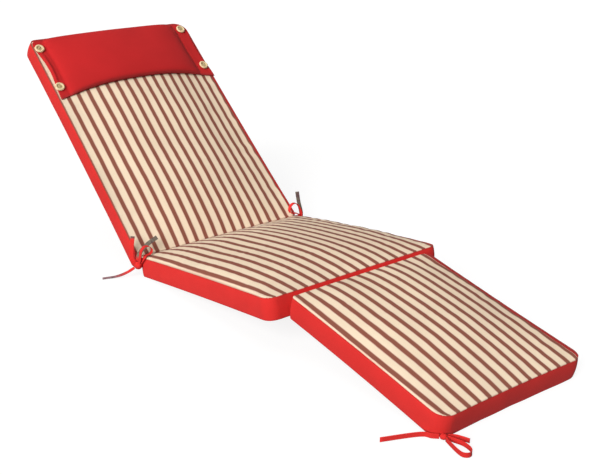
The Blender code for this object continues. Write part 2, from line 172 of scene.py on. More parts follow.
# The three panels. Near is the end towards the foot and far the end towards the head. boxing is its
# depth at both ends, corners are the radii of the plan corners, drawn_in is how far the middle of
# the seams is pulled in, flare is how much wider the near end is, on its left, and skew is how much
# further down the right side lies than the left. The dome of the striped face has its height, the
# powers of its arch across, and how far from the near and far seams it has most of its height.
# rests says whether the panel lies on the surface, and seed picks its own noise.
# rolled is how far the boxing comes over each edge of the face, and puckers how strongly each seam
# gathers the cloth. The stripes have their spacing, how far the first one is from the left seam, and
# how far they lie to the left, halfway along, beside the right seam (crowd) and the left (ease).
# covered_from is where the head pad begins.
PANELS = {
    "back": {
        "width": WIDTH, "length": 0.731, "flare": 0.005, "skew": 0.0, "rests": False, "seed": 1.0,
        "boxing": {"near": 0.0500, "far": 0.0500},
        "corners": {"near_left": 0.010, "near_right": 0.010, "far_left": 0.018, "far_right": 0.040},
        "drawn_in": {"sides": DRAWN_IN, "near": 0.0, "far": 0.0},
        "dome": {"height": 0.0223, "arch": 2.73, "edge": 2.11, "near": 0.071, "far": 0.050},
        "rolled": {"left": 0.0, "right": 0.0070, "near": 0.0, "far": 0.0060},
        "puckers": {"left": 0.8, "right": 2.4, "near": 1.0, "far": 0.8},
        "stripes": {"pitch": 0.02941, "first": 0.0279, "crowd": 0.009, "ease": 0.0},
        "covered_from": PAD_LOW_MIDDLE - PAD_LOW_BOW,
    },
    "seat": {
        "width": WIDTH, "length": 0.550, "flare": 0.0, "skew": 0.0, "rests": True, "seed": 40.0,
        "boxing": {"near": 0.0520, "far": 0.0512},
        "corners": {"near_left": 0.028, "near_right": 0.020, "far_left": 0.010, "far_right": 0.010},
        "drawn_in": {"sides": DRAWN_IN, "near": 0.0, "far": 0.0},
        "dome": {"height": 0.0383, "arch": 1.28, "edge": 0.43, "near": 0.103, "far": 0.099},
        "rolled": {"left": 0.0, "right": 0.0080, "near": 0.0, "far": 0.0},
        "puckers": {"left": 0.8, "right": 2.4, "near": 0.8, "far": 0.8},
        "stripes": {"pitch": 0.02940, "first": 0.0168, "crowd": 0.0, "ease": 0.008},
        "covered_from": math.inf,
    },
    "foot": {
        "width": 0.403, "length": 0.4570, "flare": 0.0, "skew": 0.006, "rests": True, "seed": 80.0,
        "boxing": {"near": 0.0530, "far": 0.0530},
        "corners": {"near_left": 0.034, "near_right": 0.030, "far_left": 0.010, "far_right": 0.022},
        "drawn_in": {"sides": DRAWN_IN, "near": DRAWN_IN, "far": 0.0},
        "dome": {"height": 0.0298, "arch": 2.21, "edge": 0.85, "near": 0.138, "far": 0.081},
        "rolled": {"left": 0.0, "right": 0.0115, "near": 0.0, "far": 0.0},
        "puckers": {"left": 0.8, "right": 1.6, "near": 0.8, "far": 0.8},
        "stripes": {"pitch": 0.02835, "first": 0.0138, "crowd": -0.006, "ease": 0.005},
        "covered_from": math.inf,
    },
}


def grid_lines(length):
    """Places of the mesh lines along a side: close near both seams, even between them."""
    inner = length - 2 * NEAR_SEAM[-1]
    steps = math.ceil(inner / MESH_STEP)
    middle = [NEAR_SEAM[-1] + inner * k / steps for k in range(1, steps)]
    return list(NEAR_SEAM) + middle + [length - place for place in reversed(NEAR_SEAM)]


def rise(distance, reach):
    """How much of its full height a filled face has at a distance from its seam, from 0 to 1."""
    return 1.0 - math.exp(-max(distance, 0.0) / reach)


def bell(distance, width):
    """A smooth bump: 1 at no distance, and almost nothing beyond twice the width."""
    return math.exp(-(distance / width) ** 2)


def panel_matrix(corner, angle):
    """The place of a panel whose length rises by an angle from its front left seam corner."""
    return Matrix.Translation(corner) @ Matrix.Rotation(math.radians(angle), 4, "X")


class Panel:
    """One boxed panel, with the values of its row in PANELS, and the points of its faces."""

    def __init__(self, **sizes):
        for name, value in sizes.items():
            setattr(self, name, value)
        self.columns = grid_lines(self.width)
        self.rows = grid_lines(self.length)

    def base_crown(self, x, y):
        """Share of the base's full bulge at a place of the unrounded panel."""
        across = rise(x, BASE_REACH) * rise(self.width - x, BASE_REACH)
        along = rise(y, BASE_REACH) * rise(self.length - y, BASE_REACH)
        return across * along

    def corner_of(self, x, y):
        """The rounded corner that a place belongs to: its arc's centre and radius, and where the place
        comes to lie, in radii from that centre, or None for a place that isn't in the corner."""
        right, far = x > self.width / 2, y > self.length / 2
        radius = self.corners[("far_" if far else "near_") + ("right" if right else "left")]
        centre = Vector((self.width - radius if right else radius, self.length - radius if far else radius))
        share = Vector((x - centre.x, y - centre.y)) / radius
        if share.x * (1 if right else -1) <= 0 or share.y * (1 if far else -1) <= 0:
            return centre, radius, None
        wide = share.x * math.sqrt(1 - share.y ** 2 / 2)
        deep = share.y * math.sqrt(1 - share.x ** 2 / 2)
        return centre, radius, Vector((wide, deep))

    def outline_point(self, x, y):
        """A place of the square grid, moved to fit the rounded corners and the drawn-in sides."""
        centre, radius, rounded = self.corner_of(x, y)
        place = Vector((x, y)) if rounded is None else centre + rounded * radius
        side = 2 * x / self.width - 1
        end = 2 * y / self.length - 1
        place.x -= side * self.drawn_in["sides"] * (1 - end ** 2)
        pull = self.drawn_in["far" if end > 0 else "near"]
        place.y -= end * pull * (1 - side ** 2)
        before_far = 1 - y / self.length
        place.x -= self.flare * (1 - x / self.width) * before_far
        place.y -= self.skew * x / self.width * before_far
        return place

    def boxing_depth(self, y):
        """Depth of the boxing at a place along the panel."""
        share = y / self.length
        return self.boxing["near"] * (1 - share) + self.boxing["far"] * share

    def outward(self, x, y):
        """The direction that the boxing faces at a place on the outline."""
        rounded = self.corner_of(x, y)[2]
        if rounded is not None:
            return rounded.normalized()
        if x in (self.columns[0], self.columns[-1]):
            return Vector((1.0 if x > self.width / 2 else -1.0, 0.0))
        return Vector((0.0, 1.0 if y > self.length / 2 else -1.0))

    def sides(self, x, y):
        """Each side of the unrounded panel, how far a place is from it, and how far along it."""
        return ("left", x, y), ("right", self.width - x, y), ("near", y, x), ("far", self.length - y, x)

    def seam_distance(self, x, y):
        """Distance from the nearest side of the unrounded panel."""
        return min(distance for name, distance, along in self.sides(x, y))

    def boxed(self, x, y):
        """Whether the boxing, rolled over the panel's edge, covers a place of the striped face."""
        return any(distance < self.rolled[name] for name, distance, along in self.sides(x, y))

    def seam_relief(self, x, y):
        """The line of stitches sinks in, and the cloth beside it stands up a little."""
        relief = 0.0
        for name, distance, along in self.sides(x, y):
            off = distance - self.rolled[name]
            relief -= SEAM_GROOVE * bell(off, SEAM_WIDTH)
            relief += SEAM_RIDGE["height"] * bell(off - SEAM_RIDGE["place"], SEAM_RIDGE["width"])
        return relief

    def painted_edge_shade(self, level, x, y):
        """How much painted shade a place has, from 0 to 1: a dark line along the seams, and shade over boxing
        rolled over the edge.
        """
        if level == BASE_LEVEL:
            return 0.0
        if level:
            return bell(BOXING_LINES[level] * self.boxing_depth(y), SEAM_SHADE_WIDTH)
        if self.boxed(x, y):
            # Boxing rolled over the edge, turned from the light, is painted in shade
            return BAND_SHADE
        offs = [abs(distance - self.rolled[name]) for name, distance, along in self.sides(x, y)]
        return FACE_SHADE * bell(min(offs), SEAM_SHADE_WIDTH)

    def uncovered(self, y):
        """1 where the striped face is free, and 0 where the head pad lies on it."""
        return min(1.0, max(0.0, (self.covered_from - y) / PAD_FADE))

    def pucker(self, x, y):
        """Small gathers that run in from the seams, strongest on the sides that the table names."""
        total = 0.0
        for k, (name, distance, along) in enumerate(self.sides(x, y)):
            deep = distance / PUCKER_DEPTH + NOISE_SLICES["side"] * k
            fade = math.exp(-distance / PUCKER_REACH) * rise(distance, PUCKER_START)
            total += noise.noise(Vector((along / PUCKER_LENGTH, deep, self.seed))) * fade * self.puckers[name]
        return total * PUCKER_HEIGHT

    def unevenness(self, x, y, noise_slice=0.0):
        """How far the filling lifts or sinks a face away from its seams."""
        lift = noise.noise(Vector((x / FILL_LENGTH, y / FILL_LENGTH, self.seed + noise_slice)))
        return lift * FILL_HEIGHT * min(1.0, self.base_crown(x, y) * FILL_GAIN)

    def plain_height(self, x, y):
        """Height of the domed striped face above its seam, as the solid has it."""
        side = min(abs(2 * x / self.width - 1), 1.0)
        across = (1 - side ** self.dome["arch"]) ** self.dome["edge"]
        along = rise(y, self.dome["near"]) * rise(self.length - y, self.dome["far"])
        return self.dome["height"] * across * along

    def loose_height(self, x, y):
        """How far the gathers and the unevenness of the filling lift the striped face."""
        return (self.pucker(x, y) + self.unevenness(x, y)) * self.uncovered(y)

    def top_height(self, x, y):
        """Height of the striped face with its gathers, its unevenness and its seams."""
        return self.plain_height(x, y) + self.loose_height(x, y) + self.seam_relief(x, y)

    def stripe_place(self, x, y):
        """Where a place of the face is among the stripes, in stripes from the first one."""
        stripes, share = self.stripes, x / self.width
        shift = stripes["crowd"] * share ** SQUEEZE_POWER + stripes["ease"] * (1 - share)
        shift *= math.sin(math.pi * y / self.length)
        spot = Vector((y / PUCKER_LENGTH, x / WAVER["across"], self.seed + NOISE_SLICES["stripes"]))
        near_right = math.exp(-(self.width - x) / WAVER["reach"])
        waver = noise.noise(spot) * WAVER["width"] * (WAVER["least"] + near_right)
        return (x + shift + waver - stripes["first"]) / stripes["pitch"]

    def point(self, level, x, y):
        """A point of the top face at level 0, of the boxing's bands, or of the base at the last level."""
        place = self.outline_point(x, y)
        rim = self.seam_distance(x, y) < SAME_POINT
        boxing = self.boxing_depth(y)
        if level in (0, BASE_LEVEL):
            if rim:
                place -= self.outward(x, y) * SEAM_GROOVE / 2
            if level == 0:
                return Vector((place.x, place.y, self.top_height(x, y)))
            sag = BASE_CROWN * self.base_crown(x, y) + self.unevenness(x, y, NOISE_SLICES["base"])
            return Vector((place.x, place.y, -boxing - sag))
        share = BOXING_LINES[level]
        depth = boxing * share
        bulge = SIDE_BULGE * 4 * share * (1 - share)
        groove = SEAM_GROOVE * math.exp(-depth / SEAM_GROOVE_REACH)
        spot = Vector(((x + y) / RIPPLE_LENGTH, depth / RIPPLE_DEPTH, self.seed + NOISE_SLICES["boxing"]))
        ripple = noise.noise(spot) * PUCKER_HEIGHT / 2
        place += self.outward(x, y) * (bulge - groove + ripple)
        return Vector((place.x, place.y, -depth))


def only(parts, kind):
    """Those parts of a mesh that are of one kind."""
    return [part for part in parts if isinstance(part, kind)]


def numbered_grid(columns, rows, whole=(), floating=()):
    """A flat grid whose points hold their column and row, with room for further values by name."""
    shape = bmesh.new()
    layers = shape.verts.layers
    values = [layers.int.new(name) for name in ("column", "row", *whole)]
    values += [layers.float.new(name) for name in floating]
    bmesh.ops.create_grid(shape, x_segments=columns, y_segments=rows, size=1.0)
    for vertex in shape.verts:
        vertex[values[0]] = round((vertex.co.x + 1) / 2 * columns)
        vertex[values[1]] = round((vertex.co.y + 1) / 2 * rows)
    return shape, *values


class Settled:
    """How far each place of a striped face moves as its cloth settles over the filling."""

    def __init__(self, panel, columns, rows, moves):
        self.panel = panel
        self.columns = columns
        self.rows = rows
        self.moves = moves

    def at(self, x, y):
        """The move at a place of the face, between the simulated ones."""
        across, along = x / self.panel.width * self.columns, y / self.panel.length * self.rows
        column, row = min(int(across), self.columns - 1), min(int(along), self.rows - 1)
        share, part = across - column, along - row
        low = self.moves[(column, row)].lerp(self.moves[(column + 1, row)], share)
        high = self.moves[(column, row + 1)].lerp(self.moves[(column + 1, row + 1)], share)
        return low.lerp(high, part)


def settle_cloth(panel):
    """Simulates the striped face as loosely cut cloth that is sewn down at its seams and lies on a
    soft filling, and gives back how far it moves."""
    columns, rows = math.ceil(panel.width / CLOTH_STEP), math.ceil(panel.length / CLOTH_STEP)
    shape, column_of, row_of = numbered_grid(columns, rows)
    places = [(vertex[column_of], vertex[row_of]) for vertex in shape.verts]
    spots = [(panel.width * column / columns, panel.length * row / rows) for column, row in places]
    for vertex, (x, y) in zip(shape.verts, spots):
        vertex.co = Vector((*panel.outline_point(x, y), panel.plain_height(x, y) + panel.loose_height(x, y)))
    sheet = finish_mesh("settling_cloth", shape, Matrix.Identity(4), [])
    held = sheet.vertex_groups.new(name="held")
    for number, (x, y) in enumerate(spots):
        free = min(1.0, panel.seam_distance(x, y) / CLOTH_HELD) * panel.uncovered(y)
        held.add([number], 1.0 - (1.0 - CLOTH_GOAL) * free, "REPLACE")
    cloth = sheet.modifiers.new("Settling", "CLOTH")
    for name, value in CLOTH_SETTINGS.items():
        setattr(cloth.settings, name, value)
    cloth.settings.vertex_group_mass = held.name
    cloth.settings.effector_weights.gravity = 0.0
    cloth.point_cache.frame_start = 1
    cloth.point_cache.frame_end = CLOTH_FRAMES
    scene = bpy.context.scene
    for number in range(1, CLOTH_FRAMES + 1):
        scene.frame_set(number)
    evaluated = sheet.evaluated_get(bpy.context.evaluated_depsgraph_get())
    moves = {}
    for place, before, after in zip(places, sheet.data.vertices, evaluated.to_mesh().vertices):
        move = after.co - before.co
        moves[place] = move * min(1.0, CLOTH_CAP / max(move.length, 0.000001))
    evaluated.to_mesh_clear()
    scene.frame_set(1)
    mesh = sheet.data
    bpy.data.objects.remove(sheet)
    bpy.data.meshes.remove(mesh)
    return Settled(panel, columns, rows, moves)


def panel_mesh(panel):
    """Closed mesh of a filled panel, with the cloth's own coordinates on every face."""
    columns, rows = panel.columns, panel.rows
    settled = settle_cloth(panel)
    shape, column_of, row_of, level_of, painted_shade_of = numbered_grid(
        len(columns) - 1, len(rows) - 1, whole=["level"], floating=["seam"]
    )

    def spot(vertex):
        """The place of a point on the unrounded panel."""
        return columns[vertex[column_of]], rows[vertex[row_of]]

    def put(vertices, level):
        """Moves the points of a level to where they belong."""
        for vertex in vertices:
            x, y = spot(vertex)
            vertex.co = panel.point(level, x, y)
            if level == 0:
                vertex.co += settled.at(x, y)
            vertex[level_of] = level
            # Painted shade along the seams and over the rolled boxing, which darkens the colour
            vertex[painted_shade_of] = panel.painted_edge_shade(level, x, y)

    face = list(shape.faces)
    rim = [edge for edge in shape.edges if edge.is_boundary]
    copied = bmesh.ops.duplicate(shape, geom=face)["geom"]
    top, flat = set(face), set(face + only(copied, bmesh.types.BMFace))
    put({vertex for polygon in face for vertex in polygon.verts}, 0)
    put(only(copied, bmesh.types.BMVert), BASE_LEVEL)
    for level in range(1, BASE_LEVEL + 1):
        grown = bmesh.ops.extrude_edge_only(shape, edges=rim)["geom"]
        put(only(grown, bmesh.types.BMVert), level)
        rim = only(grown, bmesh.types.BMEdge)
    cloth = shape.loops.layers.uv.new("cloth")
    striping = shape.loops.layers.uv.new("stripes")
    for polygon in shape.faces:
        middle = [sum(values) / len(polygon.verts) for values in zip(*map(spot, polygon.verts))]
        polygon.material_index = 0 if polygon in top and not panel.boxed(*middle) else 1
        polygon.smooth = True
        middle = polygon.calc_center_median()
        turned = (middle.x > panel.width / 2) == (middle.y > panel.length / 2)
        for loop in polygon.loops:
            x, y = spot(loop.vert)
            loop[striping].uv = (panel.stripe_place(x, y), y)
            loop[cloth].uv = (x, y)
            if polygon not in flat:
                down = BOXING_LINES[loop.vert[level_of]] * panel.boxing_depth(y)
                loop[cloth].uv = (x - y if turned else x + y, down)
    bmesh.ops.remove_doubles(shape, verts=shape.verts, dist=SAME_POINT)
    return shape


def press_flat(shape, matrix):
    """Presses what would sink below the surface up onto it, which leaves a flat strip to rest on."""
    for vertex in shape.verts:
        place = matrix @ vertex.co
        if place.z < 0.0:
            place.z = 0.0
            vertex.co = matrix.inverted() @ place


def finish_mesh(name, shape, matrix, materials):
    """Turns a bmesh into a piece whose place is in its mesh."""
    bmesh.ops.recalc_face_normals(shape, faces=shape.faces)
    shape.transform(matrix)
    mesh = bpy.data.meshes.new(name)
    shape.to_mesh(mesh)
    shape.free()
    for material in materials:
        mesh.materials.append(material)
    piece = bpy.data.objects.new(name, mesh)
    bpy.context.scene.collection.objects.link(piece)
    return piece


def add_subdivision(piece):
    """Rounds a piece with one subdivision, the same in the view and the render."""
    modifier = piece.modifiers.new("Rounding", "SUBSURF")
    modifier.levels = 1
    modifier.render_levels = 1


def make_panel(name, panel, matrix, materials):
    """One filled panel in its place, standing for its solid."""
    shape = panel_mesh(panel)
    if panel.rests:
        press_flat(shape, matrix)
    piece = finish_mesh(name + "_cushion", shape, matrix, materials)
    add_subdivision(piece)
    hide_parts(name + "_panel")
    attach(piece, "root")


class HeadPad:
    """Sizes of the head pad, in the back panel's own axes."""

    def __init__(self, back):
        self.back = back
        self.width = back.width - 2 * PAD_INSET
        self.high = back.length - PAD_DROP
        self.length = self.high - PAD_LOW_MIDDLE

    def side_inset(self, name, y, up):
        """How far a side edge lies inside its straight line: bowed in, slanted and rounded at the top."""
        bow = PAD_SCALLOP * math.sin(math.pi * up) ** 2
        if name == "left":
            bow += PAD_SLANT * (1 - up)
        radius = PAD_CORNERS[name]
        into = max(0.0, radius - (self.high - y))
        return bow + radius - math.sqrt(max(0.0, radius ** 2 - into ** 2))

    def place(self, across, up):
        """A place on the pad: its low edge bows up, and its flanges bow in between the buttons."""
        side = 2 * across / self.width - 1
        low = PAD_LOW_MIDDLE - PAD_LOW_BOW * abs(side) ** PAD_BOW_POWER
        y = low + (self.high - low) * up
        inset = self.side_inset("right" if side > 0 else "left", y, up)
        return PAD_INSET + across - side ** PAD_SIDE_POWER * inset, y

    def inner(self, across):
        """How far a place is inside the filled part, from the nearer flange's crease."""
        return min(across - PAD_FLANGE["left"], self.width - across - PAD_FLANGE["right"])

    def base_height(self, across, up):
        """The underside lies on the back panel's face, and its low edge rolls up a little."""
        x, y = self.place(across, up)
        lift = PAD_LIFT * bell(up * self.length, PAD_LIFT_REACH) * rise(self.inner(across), PAD_REACH)
        return self.back.plain_height(x, y) + PAD_CLEARANCE + lift

    def end_distance(self, up):
        """Distance from the nearer of the pad's low and top edges."""
        return self.length * min(up, 1 - up)

    def thickness(self, across, up):
        """Two layers of cloth at the flanges and edges, filled between them."""
        inner = self.inner(across)
        ends = rise(self.length * up, PAD_EDGE_REACH["low"])
        ends *= rise(self.length * (1 - up), PAD_EDGE_REACH["high"])
        middle = rise(inner, PAD_REACH)
        spot = Vector((across / PAD_WAVE["across"], up * PAD_WAVE["up"], PAD_WAVE["slice"]))
        wave = noise.noise(spot) * PAD_WAVE["height"] * middle * rise(self.end_distance(up), PAD_REACH)
        crease = PAD_CREASE["depth"] * bell(inner, PAD_CREASE["width"])
        span = (up - PAD_HEM["from"]) / (PAD_HEM["to"] - PAD_HEM["from"])
        hem = PAD_HEM["height"] * bell(across - PAD_HEM["across"], PAD_HEM["width"])
        hem *= math.sin(math.pi * min(1.0, max(0.0, span)))
        return PAD_CLOTH + PAD_FILL * middle * ends + wave - crease + hem


def make_head_pad(pad, matrix, material):
    """The thin filled pad with its flat flanges, standing for its solid."""
    shape, column_of, row_of, painted_shade_of = numbered_grid(PAD_COLUMNS, PAD_ROWS, floating=["seam"])

    def spot(vertex):
        """Where a mesh line runs: lines lie closer near the pad's edges."""
        across = (1 - math.cos(math.pi * vertex[column_of] / PAD_COLUMNS)) / 2
        across = (across + vertex[column_of] / PAD_COLUMNS) / 2
        up = (1 - math.cos(math.pi * vertex[row_of] / PAD_ROWS)) / 2
        return across * pad.width, up

    underside = list(shape.faces)
    for vertex in shape.verts:
        across, up = spot(vertex)
        vertex.co = Vector((*pad.place(across, up), pad.base_height(across, up)))
    grown = bmesh.ops.extrude_face_region(shape, geom=underside, use_keep_orig=True)["geom"]
    for vertex in only(grown, bmesh.types.BMVert):
        across, up = spot(vertex)
        vertex.co.z = pad.base_height(across, up) + pad.thickness(across, up)
    # Painted shade along the pad's low and top hems, which darkens the colour there
    for vertex in shape.verts:
        up = spot(vertex)[1]
        vertex[painted_shade_of] = PAD_HEM_SHADE * bell(pad.end_distance(up), PAD_HEM_DEPTH)
    cloth = shape.loops.layers.uv.new("cloth")
    for polygon in shape.faces:
        polygon.smooth = True
        for loop in polygon.loops:
            across, up = spot(loop.vert)
            loop[cloth].uv = (across, up * pad.length)
    piece = finish_mesh("head_pad_cloth", shape, matrix, [material])
    add_subdivision(piece)
    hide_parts("head_pad")
    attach(piece, "root")


# A turned button, from the middle of its dish round the rim to its underside, in shares of
# radius and height
BUTTON_PROFILE = (
    {"radius": 0.0, "height": 0.58},
    {"radius": 0.30, "height": 0.58},
    {"radius": 0.48, "height": 0.62},
    {"radius": 0.56, "height": 0.74},
    {"radius": 0.62, "height": 0.92},
    {"radius": 0.70, "height": 1.0},
    {"radius": 0.82, "height": 0.98},
    {"radius": 0.93, "height": 0.82},
    {"radius": 1.0, "height": 0.52},
    {"radius": 0.97, "height": 0.20},
    {"radius": 0.86, "height": 0.0},
    {"radius": 0.0, "height": 0.0},
)
BUTTON_HOLES = ((0.0032, 0.0032), (-0.0032, 0.0032), (-0.0032, -0.0032), (0.0032, -0.0032))
HOLE_RADIUS = 0.0014
HOLE_SIDES = 16
DRILL_LENGTH = BUTTON_HEIGHT * 1.6

# How much of a button's radius is the dish in its middle, which is darker
DISH_SHARE = 0.6

# Thread: radius, how far apart its strands lie, how far up the button it comes out, how high it
# arches and how much higher in the second row, and its steps and sides
THREAD_RADIUS = 0.0006
THREAD_SPACING = 0.00096
THREAD_FOOT = BUTTON_HEIGHT / 2
THREAD_ARCH = 0.0011
THREAD_ROW = 0.0009
THREAD_STEPS = 12
THREAD_SIDES = 8


def button_matrix(pad, place, matrix):
    """Where a button lies on the pad's flange, tilted with it."""
    x, y = place["x"], place["y"]
    step = BUTTON_RADIUS / 2
    under = pad.back.plain_height
    centre = Vector((x, y, under(x, y) + PAD_CLEARANCE + PAD_CLOTH))
    slope_x = (under(x + step, y) - under(x - step, y)) / (2 * step)
    slope_y = (under(x, y + step) - under(x, y - step)) / (2 * step)
    normal = Vector((-slope_x, -slope_y, 1.0)).normalized()
    turn = Vector((0.0, 0.0, 1.0)).rotation_difference(normal).to_matrix().to_4x4()
    spin = Matrix.Rotation(math.radians(place["turn"]), 4, "Z")
    return matrix @ Matrix.Translation(centre + normal * BUTTON_GAP) @ turn @ spin


def make_button(node, place, pad, matrix, wood, thread):
    """A turned button with four drilled holes, sewn through with thread."""
    shape = bmesh.new()
    points = []
    for station in BUTTON_PROFILE:
        radius, height = BUTTON_RADIUS * station["radius"], BUTTON_HEIGHT * station["height"]
        points.append(shape.verts.new((radius, 0.0, height)))
    edges = [shape.edges.new(pair) for pair in zip(points, points[1:])]
    bmesh.ops.spin(
        shape, geom=points + edges, axis=(0.0, 0.0, 1.0), cent=(0.0, 0.0, 0.0),
        angle=2 * math.pi, steps=BUTTON_SIDES, use_merge=True
    )
    bmesh.ops.remove_doubles(shape, verts=shape.verts, dist=SAME_POINT)
    dish_of = shape.verts.layers.float.new("dish")
    for vertex in shape.verts:
        vertex[dish_of] = 1.0 if vertex.co.xy.length < DISH_SHARE * BUTTON_RADIUS else 0.0
    for polygon in shape.faces:
        polygon.smooth = True
    seat = button_matrix(pad, place, matrix)
    button = finish_mesh(node + "_turned", shape, seat, [wood])
    drill = bmesh.new()
    for x, y in BUTTON_HOLES:
        hole = Matrix.Translation((x, y, BUTTON_HEIGHT))
        bmesh.ops.create_cone(
            drill, cap_ends=True, segments=HOLE_SIDES, radius1=HOLE_RADIUS, radius2=HOLE_RADIUS,
            depth=DRILL_LENGTH, matrix=hole
        )
    cutter = finish_mesh(node + "_drill", drill, seat, [wood])
    cut = button.modifiers.new("Holes", "BOOLEAN")
    cut.operation = "DIFFERENCE"
    cut.solver = "EXACT"
    cut.object = cutter
    graph = bpy.context.evaluated_depsgraph_get()
    drilled = bpy.data.meshes.new_from_object(button.evaluated_get(graph))
    button.modifiers.clear()
    button.data = drilled
    bpy.data.objects.remove(cutter)
    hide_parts(node)
    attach(button, "root")

    sewing = bmesh.new()
    for row, (start, end) in enumerate(((0, 2), (1, 3))):
        for strand in (-1, 0, 1):
            sew_strand(sewing, BUTTON_HOLES[start], BUTTON_HOLES[end], strand, row)
    for polygon in sewing.faces:
        polygon.smooth = True
    stitches = finish_mesh(node + "_thread", sewing, seat, [thread])
    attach(stitches, "root")


def sew_strand(shape, start, end, strand, row):
    """One strand of thread that arches over the button's middle from hole to hole."""
    first, last = Vector(start), Vector(end)
    side = Vector((first.y - last.y, last.x - first.x)).normalized() * strand * THREAD_SPACING
    route = []
    for k in range(THREAD_STEPS + 1):
        share = k / THREAD_STEPS
        arch = math.sin(math.pi * share) ** 0.5 * (THREAD_ARCH + THREAD_ROW * row)
        route.append(Vector((*(first.lerp(last, share) + side), THREAD_FOOT + arch)))
    sweep(shape, route, round_section)


def round_section(k, along):
    """Offsets of the thread's round section, which stands across its direction."""
    across = along.cross(Vector((0.0, 0.0, 1.0))).normalized() * THREAD_RADIUS
    over = across.cross(along)
    angles = [2 * math.pi * side / THREAD_SIDES for side in range(THREAD_SIDES)]
    return [across * math.cos(angle) + over * math.sin(angle) for angle in angles]


def sweep(shape, route, section):
    """A closed body along a route: an end face is extruded from place to place."""
    along_of = shape.verts.layers.float.get("along") or shape.verts.layers.float.new("along")
    round_of = shape.verts.layers.float.get("round") or shape.verts.layers.float.new("round")
    end, travelled = None, 0.0
    for k, centre in enumerate(route):
        along = (route[min(k + 1, len(route) - 1)] - route[max(k - 1, 0)]).normalized()
        ring = [centre + offset for offset in section(k, along)]
        if k:
            travelled += (centre - route[k - 1]).length
        if end is None:
            corners = [shape.verts.new(point) for point in ring]
            end = shape.faces.new(corners)
        else:
            inner = end if k > 1 else None
            old = list(end.verts)
            grown = bmesh.ops.extrude_face_region(shape, geom=[end], use_keep_orig=True)["geom"]
            fresh = only(grown, bmesh.types.BMVert)
            end = only(grown, bmesh.types.BMFace)[0]
            corners = [min(fresh, key=lambda vertex: (vertex.co - corner.co).length) for corner in old]
            for vertex, point in zip(corners, ring):
                vertex.co = point
            if inner is not None:
                bmesh.ops.delete(shape, geom=[inner], context="FACES_ONLY")
        for number, vertex in enumerate(corners):
            vertex[along_of] = travelled
            vertex[round_of] = number / len(corners)


def smooth_route(points, steps):
    """Points of a smooth curve through the given ones."""
    padded = [points[0] * 2 - points[1]] + list(points) + [points[-1] * 2 - points[-2]]
    route = []
    for before, start, end, after in zip(padded, padded[1:], padded[2:], padded[3:]):
        for k in range(steps):
            t = k / steps
            route.append(0.5 * (
                2 * start + (end - before) * t
                + (2 * before - 5 * start + 4 * end - after) * t ** 2
                + (3 * start - before - 3 * end + after) * t ** 3
            ))
    return route + [points[-1]]


def knot_surface(knot, towards):
    """The point just outside a knot, on the straight line from its centre to another point."""
    centre = Vector(knot["centre"])
    direction = (Vector(towards) - centre).normalized()
    reach = 1 / math.sqrt(sum((part / radius) ** 2 for part, radius in zip(direction, knot["radii"])))
    return centre + direction * (reach + TAPE_GAP)


# Upper side of a tape's section: across as a share of its width, and over as a share of its
# thickness. The folded edges are a little thicker than the middle, and the lower side is the same.
TAPE_SIDE = (
    {"across": 0.50, "over": 0.22}, {"across": 0.47, "over": 0.50}, {"across": 0.36, "over": 0.46},
    {"across": 0.0, "over": 0.34}, {"across": -0.36, "over": 0.46}, {"across": -0.47, "over": 0.50},
    {"across": -0.50, "over": 0.22},
)


def make_tape(node, tape, material):
    """A flat tape along a smooth route that starts at its knot and, as a loop, comes back there."""
    knot = KNOTS[tape["knot"]]
    points = [Vector(point) for point in tape["route"]]
    widths = [Vector(width) for width in tape["across"]]
    points.insert(0, knot_surface(knot, points[0]))
    widths.insert(0, widths[0])
    if tape["loop"]:
        points.append(knot_surface(knot, points[-1]))
        widths.append(widths[-1])
    centres = smooth_route(points, ROUTE_STEPS)
    widths = smooth_route(widths, ROUTE_STEPS)

    def section(k, along):
        across = (widths[k] - along * widths[k].dot(along)).normalized() * TAPE_WIDTH
        over = along.cross(across).normalized() * TAPE_THICKNESS
        upper = [across * part["across"] + over * part["over"] for part in TAPE_SIDE]
        return upper + [-offset for offset in upper]

    shape = bmesh.new()
    sweep(shape, centres, section)
    along_of = shape.verts.layers.float["along"]
    round_of = shape.verts.layers.float["round"]
    cloth = shape.loops.layers.uv.new("cloth")
    for polygon in shape.faces:
        polygon.smooth = len(polygon.verts) == 4
        for loop in polygon.loops:
            loop[cloth].uv = (loop.vert[round_of] * TAPE_WIDTH * 2, loop.vert[along_of])
    piece = finish_mesh(node + "_tape", shape, Matrix.Translation(HINGE), [material])
    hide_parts(node)
    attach(piece, "root")


# The turns of tape pulled tight round a knot, the upper one first: the axis that each goes round,
# the share of the radius it covers, how high it lies there and how much less at its edges, and how
# far down the knot it shows
FIRST_AXIS = Vector((0.45, 0.80, 0.35)).normalized()
SECOND_AXIS = Vector((-0.75, 0.35, 0.55)).normalized()
KNOT_TURNS = (
    {"axis": FIRST_AXIS, "cover": 0.42, "lies": 1.0, "edge": 0.05, "down": -2.0},
    {"axis": SECOND_AXIS, "cover": 0.36, "lies": 0.97, "edge": 0.04, "down": -0.2},
)
KNOT_CORE = 0.90
KNOT_LUMPS = {"height": 0.03, "scale": 3.0}
KNOT_SMOOTHING = {"factor": 0.4, "use_axis_x": True, "use_axis_y": True, "use_axis_z": True}


def knot_lift(place):
    """How far out the knot's surface lies in a direction, as a share of its radii."""
    lumps = KNOT_LUMPS["height"] * noise.noise(place * KNOT_LUMPS["scale"])
    for turn in KNOT_TURNS:
        off = abs(place.dot(turn["axis"])) / turn["cover"]
        if off < 1.0 and place.z > turn["down"]:
            return turn["lies"] - turn["edge"] * off ** 4 + lumps
    return KNOT_CORE + lumps


